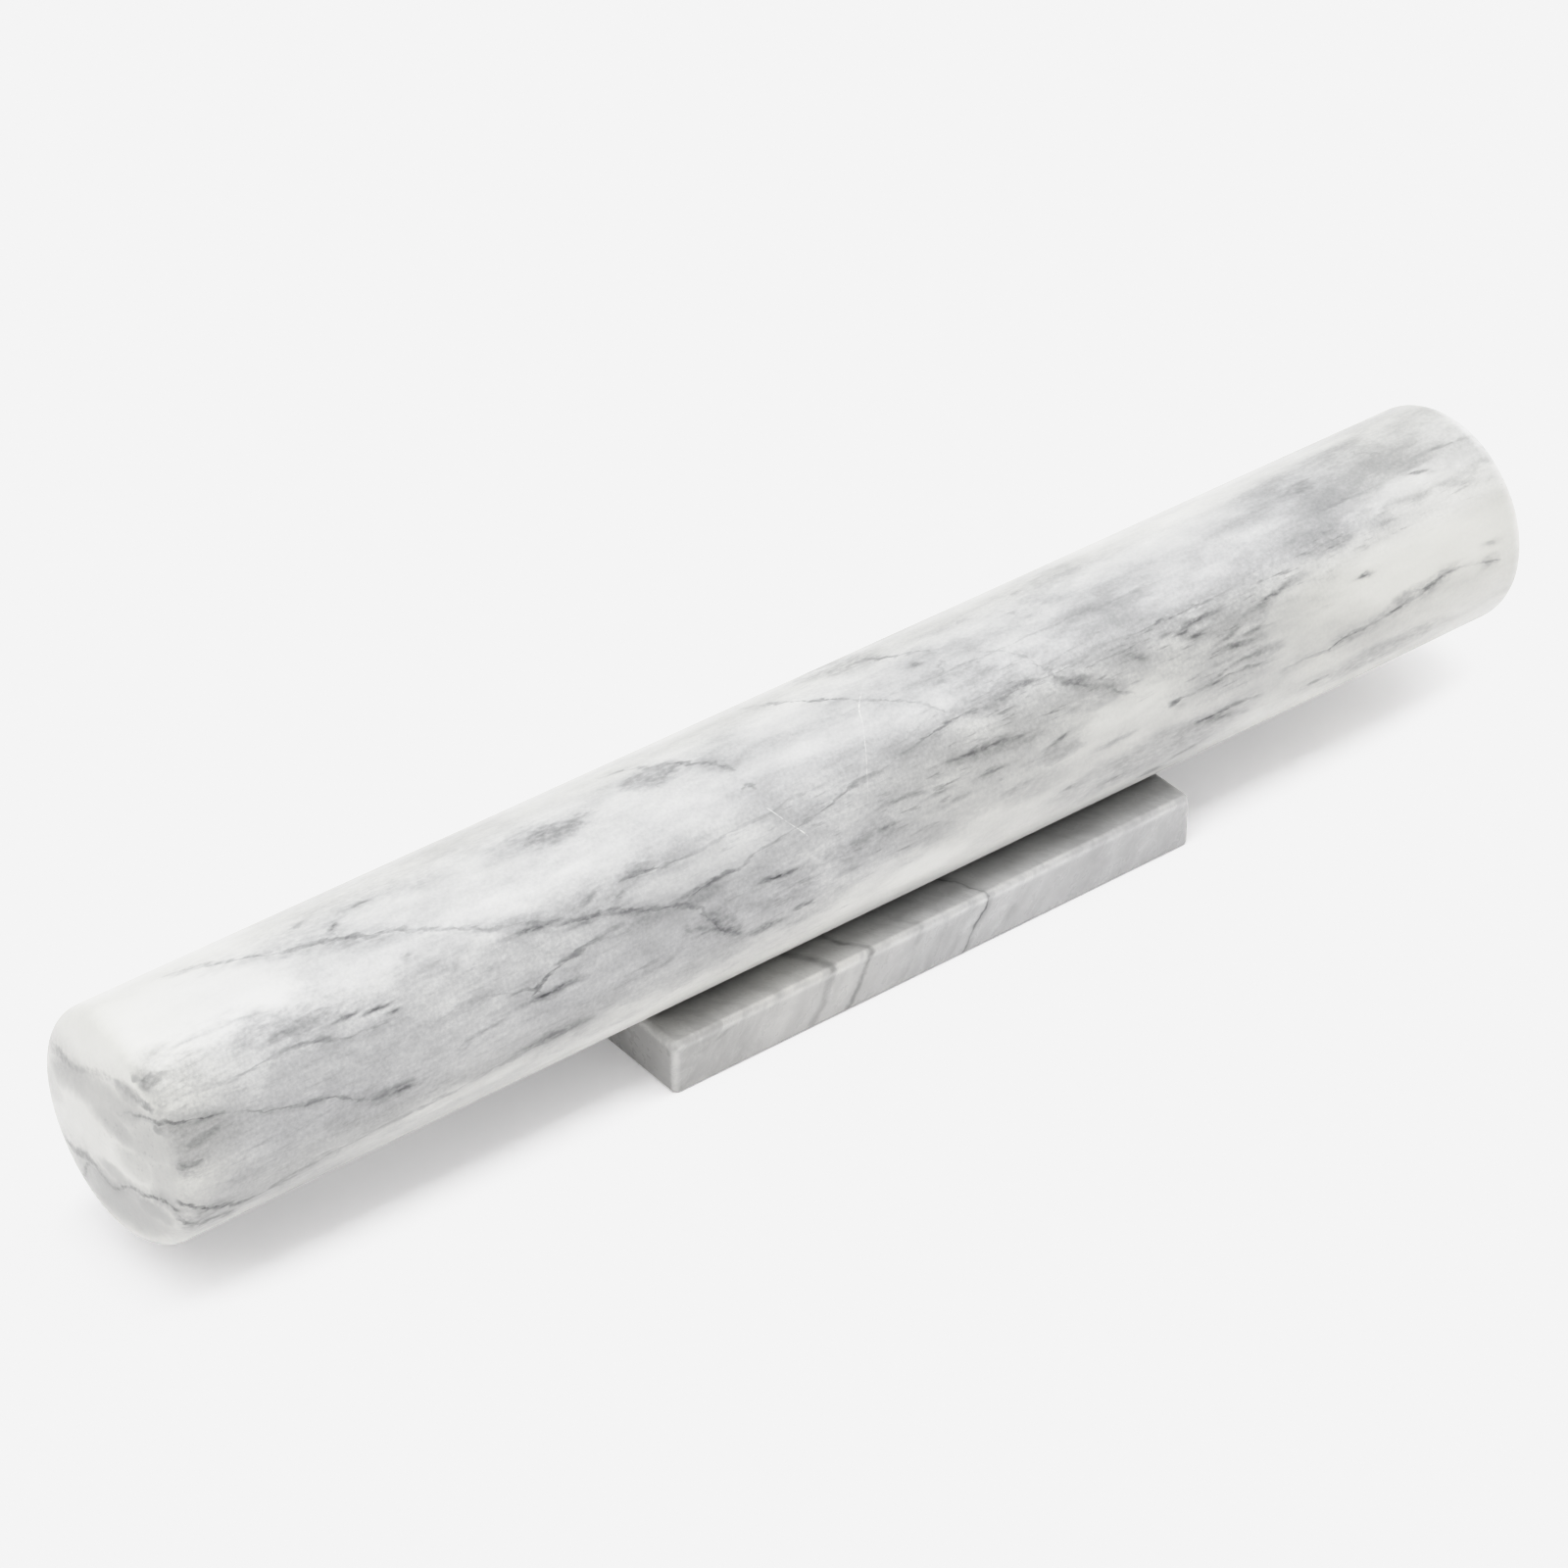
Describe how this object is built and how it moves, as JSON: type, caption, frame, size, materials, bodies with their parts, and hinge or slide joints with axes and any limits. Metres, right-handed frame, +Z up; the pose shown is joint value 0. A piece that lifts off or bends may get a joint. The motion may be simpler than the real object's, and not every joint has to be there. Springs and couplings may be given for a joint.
{
  "type": "rolling pin on a stand",
  "caption": "Handleless marble rolling pin with rounded ends, resting in the shallow groove of a low rectangular marble stand; the pin lifts off for use.",
  "frame": {"origin": "on the table, under the middle of the pin", "axes": "+X along the pin, +Y across it away from the side seen in the picture, +Z up"},
  "size_m": [0.406, 0.057, 0.0677],
  "materials": {
    "pin_marble": "honed white marble with grey veins",
    "stand_marble": "honed pale grey marble with slanting veins"
  },
  "bodies": {
    "stand": {"stand": "stand_marble"},
    "rolling_pin": {"rolling_pin": "pin_marble"}
  },
  "joints": [
    {"name": "pin_lift", "type": "slide", "parent": "stand", "child": "rolling_pin", "axis": [0, 0, 1], "range_m": [0, 0.12]}
  ]
}
